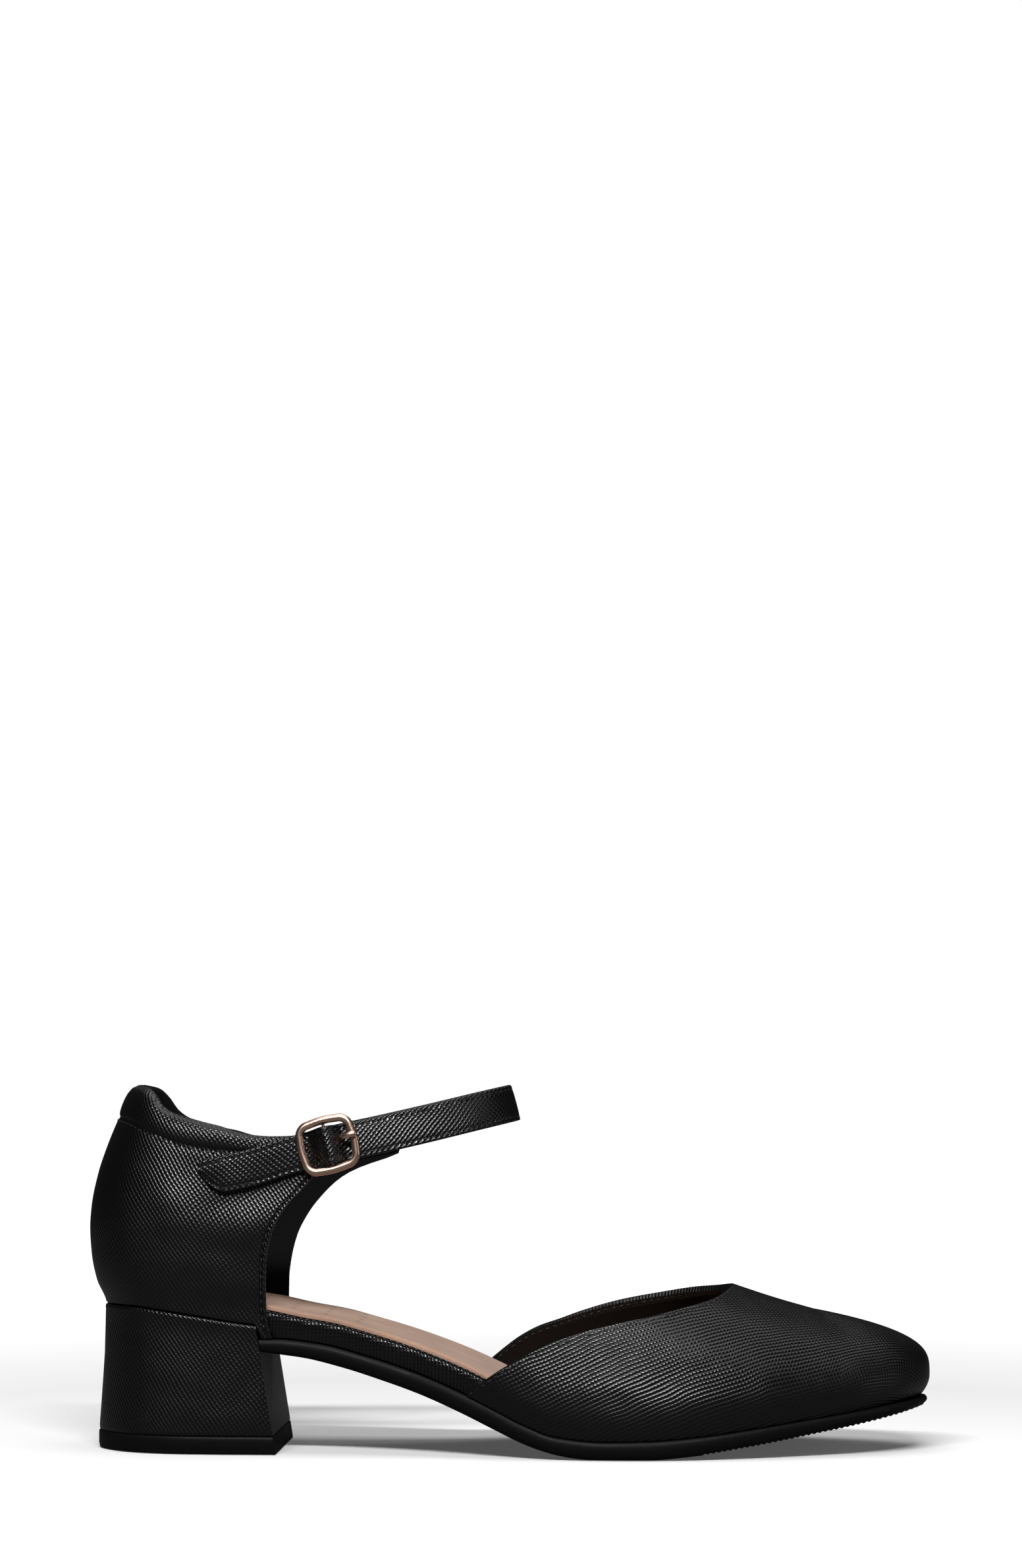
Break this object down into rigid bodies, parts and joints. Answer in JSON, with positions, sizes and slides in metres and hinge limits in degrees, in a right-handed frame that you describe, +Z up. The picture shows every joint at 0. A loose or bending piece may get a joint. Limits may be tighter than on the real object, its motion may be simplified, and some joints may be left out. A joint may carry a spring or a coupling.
{
  "type": "women's ankle strap pump",
  "caption": "Closed-toe, closed-heel pump with open waist, buckled ankle strap and low block heel, right shoe",
  "frame": {"origin": "on the floor under the middle of the shoe's box", "axes": "+X from the heel to the toe, +Y to the inner side of the foot, +Z up"},
  "size_m": [0.2463, 0.0831, 0.1055],
  "materials": {
    "sole_rubber": "smooth black rubber, semi-matt",
    "heel_rubber": "smooth black rubber, semi-matt",
    "heel_cover": "black cross-grain leather cover, glossy",
    "board_cover": "black cross-grain leather wrapped round the board's edge, glossy",
    "sock_suede": "tan suede, matt",
    "vamp_leather": "black cross-grain leather, glossy, brown-black lining",
    "quarter_leather": "black cross-grain leather, glossy, padded collar band",
    "strap_leather": "black cross-grain leather, glossy, stitched along both edges",
    "loop_leather": "black leather, plain",
    "buckle_metal": "rose gold, satin polish",
    "prong_metal": "rose gold, satin polish"
  },
  "bodies": {
    "root": {"outsole": "sole_rubber", "heel_top_piece": "heel_rubber", "heel_block": "heel_cover", "insole_board": "board_cover", "sock": "sock_suede", "vamp": "vamp_leather", "quarter": "quarter_leather", "ankle_strap": "strap_leather", "buckle_loop": "loop_leather", "buckle_frame": "buckle_metal", "buckle_prong": "prong_metal"}
  },
  "joints": []
}
